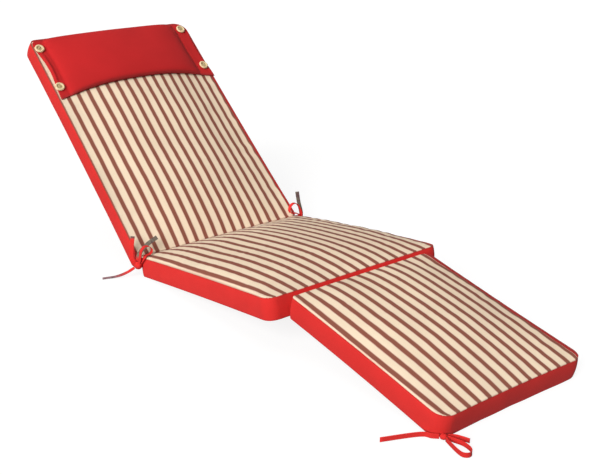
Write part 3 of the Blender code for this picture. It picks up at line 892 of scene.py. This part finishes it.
def make_knot(node, knot, material):
    """The tightened knot of a tie: a lump with two turns of tape pulled tight round it."""
    shape = bmesh.new()
    bmesh.ops.create_icosphere(shape, subdivisions=5, radius=1.0)
    for vertex in shape.verts:
        vertex.co *= knot_lift(vertex.co)
    bmesh.ops.scale(shape, verts=shape.verts, vec=knot["radii"])
    bmesh.ops.smooth_vert(shape, verts=shape.verts, **KNOT_SMOOTHING)
    cloth = shape.loops.layers.uv.new("cloth")
    for polygon in shape.faces:
        polygon.smooth = True
        for loop in polygon.loops:
            loop[cloth].uv = [loop.vert.co.dot(turn["axis"]) for turn in KNOT_TURNS]
    matrix = Matrix.Translation(HINGE + Vector(knot["centre"]))
    piece = finish_mesh(node + "_cloth", shape, matrix, [material])
    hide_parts(node)
    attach(piece, "root")


# Knots: centre from the hinge's left end, and radii
KNOTS = {
    "left_tie_knot": {"centre": (-0.0104, -0.0075, -0.0180), "radii": (0.0096, 0.0120, 0.0110)},
    "right_tie_knot": {"centre": (0.5085, -0.0070, -0.0180), "radii": (0.0080, 0.0108, 0.0090)},
    "foot_tie_knot": {"centre": (0.0596, -1.0056, -0.0426), "radii": (0.0075, 0.0075, 0.0065)},
}

# Tapes: the knot that each leaves, whether it comes back there as a loop, how it is held, the points
# that it passes, from the hinge's left end, and the direction of its width at each
UPRIGHT = (0.0, 0.0, 1.0)
LEVEL = (0.0, 1.0, 0.0)
FACING = (0.79, -0.62, 0.0)
LEANING = (-0.52, 0.56, 0.62)
TAPES = {
    "left_tie_upper_end": {
        "knot": "left_tie_knot", "loop": False, "held": "hung", "across": [FACING] * 3,
        "route": ((-0.0215, 0.0030, -0.0010), (-0.0155, 0.0100, 0.0280), (-0.0070, 0.0180, 0.0520)),
    },
    "left_tie_floor_end": {
        "knot": "left_tie_knot", "loop": False, "held": "hung", "across": [LEVEL] * 3,
        "route": ((-0.0360, 0.0060, -0.0350), (-0.0570, 0.0210, -0.0450), (-0.0890, 0.0370, -0.0481)),
    },
    "left_tie_leaning_end": {
        "knot": "left_tie_knot", "loop": False, "held": "hung", "across": [FACING] + [LEANING] * 3,
        "route": (
            (-0.0055, -0.0030, 0.0040), (0.0045, -0.0045, 0.0190), (0.0280, 0.0000, 0.0310),
            (0.0520, 0.0000, 0.0410),
        ),
    },
    "left_tie_loop": {
        "knot": "left_tie_knot", "loop": True, "held": "folded", "across": [LEVEL] * 8,
        "route": (
            (-0.0110, -0.0200, 0.0040), (-0.0080, -0.0220, 0.0230), (0.0020, -0.0220, 0.0340),
            (0.0150, -0.0220, 0.0320), (0.0230, -0.0220, 0.0210), (0.0170, -0.0220, 0.0115),
            (0.0060, -0.0220, 0.0105), (-0.0025, -0.0270, 0.0065),
        ),
    },
    "right_tie_upper_end": {
        "knot": "right_tie_knot", "loop": False, "held": "hung", "across": [FACING] * 3,
        "route": ((0.5210, 0.0060, 0.0020), (0.5145, 0.0085, 0.0340), (0.5085, 0.0080, 0.0650)),
    },
    "right_tie_loop": {
        "knot": "right_tie_knot", "loop": True, "held": "folded", "across": [LEVEL] * 8,
        "route": (
            (0.5110, -0.0070, 0.0060), (0.5060, -0.0060, 0.0220), (0.4960, -0.0060, 0.0360),
            (0.4820, -0.0060, 0.0390), (0.4710, -0.0060, 0.0290), (0.4730, -0.0060, 0.0150),
            (0.4880, -0.0060, 0.0100), (0.5010, -0.0065, 0.0055),
        ),
    },
    "foot_tie_left_end": {
        "knot": "foot_tie_knot", "loop": False, "held": "laid", "across": [UPRIGHT] * 4,
        "route": (
            (0.0437, -0.9898, -0.0425), (0.0367, -0.9768, -0.0427), (0.0130, -0.9630, -0.0430),
            (-0.0385, -0.9405, -0.0432),
        ),
    },
    "foot_tie_right_end": {
        "knot": "foot_tie_knot", "loop": False, "held": "laid", "across": [UPRIGHT] * 2,
        "route": ((0.0777, -1.0203, -0.0427), (0.0880, -1.0440, -0.0432)),
    },
    "foot_tie_loop": {
        "knot": "foot_tie_knot", "loop": True, "held": "folded", "across": [UPRIGHT] * 8,
        "route": (
            (0.0517, -1.0308, -0.0427), (0.0462, -1.0525, -0.0430), (0.0455, -1.0670, -0.0432),
            (0.0530, -1.0745, -0.0432), (0.0625, -1.0725, -0.0432), (0.0695, -1.0620, -0.0432),
            (0.0715, -1.0440, -0.0430), (0.0672, -1.0288, -0.0427),
        ),
    },
}


class Finish:
    """A material under construction: its nodes, its links and its shader."""

    def __init__(self, name, roughness):
        self.material = bpy.data.materials.new(name)
        self.material.use_nodes = True
        self.tree = self.material.node_tree
        self.shader = self.tree.nodes["Principled BSDF"]
        self.shader.inputs["Roughness"].default_value = roughness

    def node(self, kind, inputs=(), **settings):
        """Adds a node, sets what it is told, and links or sets its inputs."""
        made = self.tree.nodes.new(kind)
        for name, value in settings.items():
            setattr(made, name, value)
        for key, value in dict(inputs).items():
            if isinstance(value, bpy.types.NodeSocket):
                self.tree.links.new(value, made.inputs[key])
            else:
                made.inputs[key].default_value = value
        return made

    def coordinates(self, name):
        """A set of the cloth's own coordinates."""
        return self.node("ShaderNodeUVMap", uv_map=name).outputs["UV"]

    def parts(self, place):
        """The separate coordinates of a place."""
        return self.node("ShaderNodeSeparateXYZ", {0: place}).outputs

    def attribute(self, name):
        """A value that the mesh holds at its points."""
        return self.node("ShaderNodeAttribute", attribute_name=name).outputs["Fac"]

    def cloud(self, place, scale, detail):
        """Smooth noise round 0.5."""
        made = self.node("ShaderNodeTexNoise", {"Vector": place, "Scale": scale, "Detail": detail})
        return made.outputs["Fac"]

    def span(self, value, start, end, low=0.0, high=1.0):
        """A value that goes from low to high while another goes from start to end."""
        return self.node("ShaderNodeMapRange", {0: value, 1: start, 2: end, 3: low, 4: high}).outputs[0]

    def bump(self, height, strength, distance):
        """Relief of the surface, without a change of its shape."""
        made = self.node("ShaderNodeBump", {"Strength": strength, "Distance": distance, "Height": height})
        self.put("Normal", made.outputs["Normal"])

    def sum(self, operation, first, second=0.0, third=0.0):
        """A calculation on one, two or three values."""
        return self.node("ShaderNodeMath", {0: first, 1: second, 2: third}, operation=operation).outputs[0]

    def ramp(self, factor, stops):
        """A colour that changes along a value, through named stops."""
        made = self.node("ShaderNodeValToRGB", {0: factor})
        elements = made.color_ramp.elements
        while len(elements) < len(stops):
            elements.new(1.0)
        for element, stop in zip(elements, stops):
            element.position = stop["at"]
            element.color = (*stop["colour"], 1.0)
        return made.outputs["Color"]

    def mix(self, factor, first, second):
        """One colour over another."""
        made = self.node("ShaderNodeMix", data_type="RGBA")
        for number, value in ((0, factor), (6, first), (7, second)):
            if isinstance(value, bpy.types.NodeSocket):
                self.tree.links.new(value, made.inputs[number])
            else:
                made.inputs[number].default_value = value if number == 0 else (*value, 1.0)
        return made.outputs[2]

    def look(self, values):
        """Sets inputs of the shader by name."""
        for name, value in values.items():
            self.shader.inputs[name].default_value = value

    def put(self, name, value):
        """Links a value to an input of the shader."""
        self.tree.links.new(value, self.shader.inputs[name])


# Cotton canvas: threads per metre, how deep the weave stands and how strongly it shows, and the soft
# sheen of brushed cotton
THREADS = 900.0
WEAVE_DEPTH = 0.00012
WEAVE_STRENGTH = 0.35
COTTON_LOOK = {"Sheen Weight": 0.03, "Sheen Roughness": 0.5, "Specular IOR Level": 0.10}

# How strongly the painted shade along the seams and over the rolled boxing darkens the cloth
SEAM_SHADE_STRENGTH = 0.85

# Roughness of each finish
COTTON_ROUGHNESS = 0.9
TAPE_ROUGHNESS = 0.95
WOOD_ROUGHNESS = 0.45
FLOOR_ROUGHNESS = 0.9

# Unevenness of each dye: how fine it is, and from what to what it changes the colour's brightness
DYE_DETAIL = 4.0
PLAIN_DYE = {"scale": 9.0, "low": 0.93, "high": 1.05}
STRIPED_DYE = {"scale": 8.0, "low": 0.95, "high": 1.03}


def weave(finish):
    """Height of a plain weave along the cloth's own coordinates, and those coordinates."""
    place = finish.coordinates("cloth")
    parts = finish.parts(place)
    threads = []
    for axis in ("X", "Y"):
        turn = finish.sum("MULTIPLY", parts[axis], math.pi * THREADS)
        threads.append(finish.sum("ABSOLUTE", finish.sum("SINE", turn)))
    return finish.sum("MULTIPLY", *threads), place


def cloth_surface(finish, height):
    """Weave bump, and the cotton's sheen."""
    finish.bump(height, WEAVE_STRENGTH, WEAVE_DEPTH)
    finish.look(COTTON_LOOK)


def mottling(finish, scale, low, high):
    """Broad unevenness of a dye, as a value between two limits."""
    place = finish.node("ShaderNodeTexCoord").outputs["Object"]
    return finish.span(finish.cloud(place, scale, DYE_DETAIL), 0.3, 0.7, low, high)


def with_painted_shade(finish, colour):
    """A colour with painted shade: a dark line in the groove where the seams' stitches sink in, and shade
    over boxing rolled over the edge.
    """
    return finish.mix(finish.sum("MULTIPLY", finish.attribute("seam"), SEAM_SHADE_STRENGTH), colour, SEAM_SHADE)


def scaled_colour(finish, colour, factor):
    """A colour made darker or lighter by a value."""
    return finish.node("ShaderNodeVectorMath", {0: colour, 3: factor}, operation="SCALE").outputs[0]


def plain_cloth(name, colour, deep):
    """Plain woven cotton of one dye, with painted shade between its threads."""
    finish = Finish(name, COTTON_ROUGHNESS)
    height, place = weave(finish)
    # The deep colour is painted shade between the threads, where the weave is low
    colour = with_painted_shade(finish, finish.mix(height, deep, colour))
    finish.put("Base Color", scaled_colour(finish, colour, mottling(finish, **PLAIN_DYE)))
    cloth_surface(finish, height)
    return finish.material


# Colours of the cloths and of the painted shade between their threads, of the painted shade along the seams,
# of the tapes' darkened ends, the thread, the wood and the floor
CREAM = (0.91, 0.755, 0.57)
CREAM_WEAVE_SHADE = (0.80, 0.64, 0.47)
FRINGE = (0.78, 0.42, 0.34)
BROWN = (0.29, 0.098, 0.067)
BROWN_WEAVE_SHADE = (0.24, 0.079, 0.054)
RED = (0.79, 0.036, 0.032)
RED_WEAVE_SHADE = (0.65, 0.026, 0.023)
PAD_RED = (0.57, 0.021, 0.022)
PAD_RED_WEAVE_SHADE = (0.47, 0.016, 0.017)
SEAM_SHADE = (0.27, 0.026, 0.026)
GREY_GREEN = (0.20, 0.19, 0.14)
PURPLE_GREY = (0.30, 0.17, 0.19)
DARK_GREY = (0.12, 0.075, 0.075)
THREAD_COLOUR = (0.50, 0.40, 0.23)
WOOD = (0.88, 0.71, 0.44)
WOOD_DEEP = (0.66, 0.47, 0.24)
DISH_COLOUR = (0.50, 0.37, 0.18)
WHITE = (1.0, 1.0, 1.0, 1.0)
FLOOR_GREY = (0.20, 0.20, 0.20, 1.0)

# Tape ends that turn dark: painted shade on the left tie's leaning and floor ends and the right tie's upper
# end, which lie edge-on in shadow, and a darker cut end on the left tie's upper end. The dark colour and its
# patches, and between which lengths from the knot the red turns into it
DARKENED_TAPE_ENDS = {
    "left_tie_upper_end": {
        "name": "dark_end_tape", "dark_colour": DARK_GREY, "patches": GREY_GREEN, "start": 0.061, "end": 0.067,
    },
    "left_tie_leaning_end": {
        "name": "grey_green_tape", "dark_colour": GREY_GREEN, "patches": DARK_GREY, "start": 0.004, "end": 0.014,
    },
    "left_tie_floor_end": {
        "name": "purple_grey_tape", "dark_colour": PURPLE_GREY, "patches": DARK_GREY, "start": 0.015, "end": 0.060,
    },
    "right_tie_upper_end": {
        "name": "dark_grey_tape", "dark_colour": DARK_GREY, "patches": GREY_GREEN, "start": 0.012, "end": 0.030,
    },
}


# The patches: how fine they are, and between which values of the noise one colour turns into the other
PATCHES = {"scale": 90.0, "detail": 3.0}
PATCH_EDGE = {"start": 0.42, "end": 0.62}


def darkened_tape(name, dark_colour, patches, start, end):
    """Red cotton tape, with painted shade between its threads, that turns into a darker colour with patches
    beyond a length from its knot.
    """
    finish = Finish(name, TAPE_ROUGHNESS)
    height, place = weave(finish)
    turn = finish.span(finish.parts(place)["Y"], start, end)
    dark_colour = finish.mix(finish.span(finish.cloud(place, **PATCHES), **PATCH_EDGE), dark_colour, patches)
    # Beyond the turn the tape takes the dark colour, painted shade on most of these ends
    finish.put("Base Color", finish.mix(turn, finish.mix(height, RED_WEAVE_SHADE, RED), dark_colour))
    cloth_surface(finish, height)
    return finish.material


# Edges of a stripe: how far inside its edge the brown ends, how far outside the fringe and then the cream
# begin, the same for the painted shade between the threads, and how the edge wavers
STRIPE_EDGE = {"brown": -0.03, "fringe": 0.015, "cream": 0.08, "shaded_cream": 0.05}
STRIPE_WAVER = {"scale": 7.0, "detail": 2.0}
STRIPE_WAVER_WIDTH = 0.05


def striped_cloth():
    """Cream cotton with woven red brown stripes that run along the panel."""
    finish = Finish("striped_cotton", COTTON_ROUGHNESS)
    height, place = weave(finish)
    spot = finish.coordinates("stripes")
    waver = finish.sum("SUBTRACT", finish.cloud(spot, **STRIPE_WAVER), 0.5)
    shifted = finish.sum("MULTIPLY_ADD", waver, STRIPE_WAVER_WIDTH, finish.parts(spot)["X"])
    cycle = finish.sum("FRACT", finish.sum("ADD", shifted, 0.5))
    distance = finish.sum("ABSOLUTE", finish.sum("SUBTRACT", cycle, 0.5))
    edge = {name: STRIPE_WIDTH / 2 + off for name, off in STRIPE_EDGE.items()}
    stops = (
        {"at": 0.0, "colour": BROWN}, {"at": edge["brown"], "colour": BROWN},
        {"at": edge["fringe"], "colour": FRINGE}, {"at": edge["cream"], "colour": CREAM},
    )
    weave_shade_stops = (
        {"at": 0.0, "colour": BROWN_WEAVE_SHADE}, {"at": edge["brown"], "colour": BROWN_WEAVE_SHADE},
        {"at": edge["shaded_cream"], "colour": CREAM_WEAVE_SHADE},
    )
    # Painted shade between the threads, where the weave is low
    colour = finish.mix(height, finish.ramp(distance, weave_shade_stops), finish.ramp(distance, stops))
    colour = with_painted_shade(finish, colour)
    finish.put("Base Color", scaled_colour(finish, colour, mottling(finish, **STRIPED_DYE)))
    cloth_surface(finish, height)
    return finish.material


# Wood: its grain, how the grain lies in it and stands out of it, and its thin coat
GRAIN = {"Scale": 140.0, "Distortion": 5.0, "Detail": 3.0, "Detail Scale": 1.5}
GRAIN_TURN = (0.4, 0.3, 0.7)
GRAIN_STRENGTH = 0.2
GRAIN_DEPTH = 0.0002
WOOD_COAT = {"Coat Weight": 0.25, "Coat Roughness": 0.3}


def turned_wood():
    """Pale turned wood with fine grain, under a thin satin coat."""
    finish = Finish("pale_wood", WOOD_ROUGHNESS)
    place = finish.node("ShaderNodeTexCoord").outputs["Object"]
    grain_place = finish.node("ShaderNodeMapping", {"Vector": place, "Rotation": GRAIN_TURN}).outputs[0]
    grain = finish.node("ShaderNodeTexWave", {"Vector": grain_place, **GRAIN}).outputs["Fac"]
    stops = ({"at": 0.0, "colour": WOOD_DEEP}, {"at": 1.0, "colour": WOOD})
    colour = finish.mix(finish.attribute("dish"), finish.ramp(grain, stops), DISH_COLOUR)
    finish.put("Base Color", colour)
    finish.bump(grain, GRAIN_STRENGTH, GRAIN_DEPTH)
    finish.look(WOOD_COAT)
    return finish.material


# The camera: its place from the hinge's left end, how far it looks down and turns, and its lens on a
# sensor of this width, in millimetres
CAMERA_PLACE = (-1.1087, -2.0723, 0.9605)
CAMERA_DOWN = 21.41
CAMERA_TURN = -38.04
LENS = 59.64
SENSOR = 36.0
SIGHT = 100.0


def make_camera():
    """The camera, placed from the hinge's left end as it stands in the picture."""
    data = bpy.data.cameras.new("camera")
    data.sensor_width = SENSOR
    data.lens = LENS
    data.clip_end = SIGHT
    camera = bpy.data.objects.new("camera", data)
    camera.location = HINGE + Vector(CAMERA_PLACE)
    camera.rotation_euler = (math.radians(90.0 - CAMERA_DOWN), 0.0, math.radians(CAMERA_TURN))
    bpy.context.scene.collection.objects.link(camera)
    bpy.context.scene.camera = camera


# Broad suns: where each shines from, how strong and how wide it is, and its colour
LIGHTS = {
    "key": {"from": (-0.70, -0.30, 0.42), "strength": 3.70, "spread": 40.0, "colour": (1.0, 0.99, 0.97)},
    "fill": {"from": (0.10, -0.80, 0.60), "strength": 0.22, "spread": 70.0, "colour": (0.97, 0.98, 1.0)},
    "overhead": {"from": (0.0, 0.30, 0.95), "strength": 0.85, "spread": 60.0, "colour": (1.0, 1.0, 1.0)},
}


def make_lights():
    """The suns, each turned to shine from its own side."""
    for name, light in LIGHTS.items():
        data = bpy.data.lights.new(name, "SUN")
        data.energy = light["strength"]
        data.angle = math.radians(light["spread"])
        data.color = light["colour"]
        sun = bpy.data.objects.new(name, data)
        sun.rotation_euler = Vector(light["from"]).to_track_quat("Z", "Y").to_euler()
        bpy.context.scene.collection.objects.link(sun)


# Strength of the light that comes from all sides, the floor's own glow, which keeps it white under
# that light, half its size, and how far it lies below the cushion
SKY_STRENGTH = 0.08
FLOOR_GLOW = 0.84
FLOOR_HALF = 14.0
FLOOR_DROP = 0.0004


def make_studio():
    """A plain white floor and soft light from the left, as in the picture."""
    shape = bmesh.new()
    bmesh.ops.create_grid(shape, x_segments=1, y_segments=1, size=FLOOR_HALF)
    finish = Finish("pale_floor", FLOOR_ROUGHNESS)
    finish.look({"Base Color": FLOOR_GREY, "Emission Color": WHITE, "Emission Strength": FLOOR_GLOW})
    floor = finish_mesh("studio_floor", shape, Matrix.Translation((0.0, 0.0, -FLOOR_DROP)), [finish.material])
    floor.visible_diffuse = False
    world = bpy.data.worlds.new("studio")
    world.use_nodes = True
    tree = world.node_tree
    sky = tree.nodes["Background"]
    sky.inputs["Color"].default_value = WHITE
    seen = tree.nodes.new("ShaderNodeLightPath").outputs["Is Camera Ray"]
    brightness = tree.nodes.new("ShaderNodeMath")
    brightness.operation = "MAXIMUM"
    brightness.inputs[0].default_value = SKY_STRENGTH
    tree.links.new(seen, brightness.inputs[1])
    tree.links.new(brightness.outputs[0], sky.inputs["Strength"])
    bpy.context.scene.world = world
    make_lights()
    bpy.context.scene.view_settings.view_transform = "Standard"


def place_panels():
    """The three panels, each with the place that its solid has."""
    back, seat, foot = (Panel(**sizes) for sizes in PANELS.values())
    back_matrix = panel_matrix(HINGE, BACK_ANGLE) @ Matrix.Translation((0.0, SEAM_GAP, 0.0))
    seat_matrix = panel_matrix(HINGE, SEAT_ANGLE) @ Matrix.Translation((0.0, -SEAM_GAP - seat.length, 0.0))
    fold = seat_matrix @ Vector(((seat.width - foot.width) / 2, -2 * SEAM_GAP, -FOLD_DEPTH))
    foot_matrix = panel_matrix(fold, FOOT_ANGLE) @ Matrix.Translation((0.0, -foot.length, FOLD_DEPTH))
    return {"back": (back, back_matrix), "seat": (seat, seat_matrix), "foot": (foot, foot_matrix)}


def build():
    """Makes every visible piece of the cushion."""
    striped = striped_cloth()
    red = plain_cloth("red_cotton", RED, RED_WEAVE_SHADE)
    pad_red = plain_cloth("pad_red_cotton", PAD_RED, PAD_RED_WEAVE_SHADE)
    thread = plain_cloth("sewing_thread", THREAD_COLOUR, THREAD_COLOUR)
    wood = turned_wood()
    panels = place_panels()
    for name, (panel, matrix) in panels.items():
        make_panel(name, panel, matrix, [striped, red])
    back, back_matrix = panels["back"]
    pad = HeadPad(back)
    make_head_pad(pad, back_matrix, pad_red)
    for node, place in BUTTONS.items():
        make_button(node, place, pad, back_matrix, wood, thread)
    for node, knot in KNOTS.items():
        make_knot(node, knot, red)
    # Tape ends darkened, most of them with painted shade
    darkened_ends = {node: darkened_tape(**look) for node, look in DARKENED_TAPE_ENDS.items()}
    for node, tape in TAPES.items():
        make_tape(node, tape, darkened_ends.get(node, red))


make_camera()
build()
make_studio()
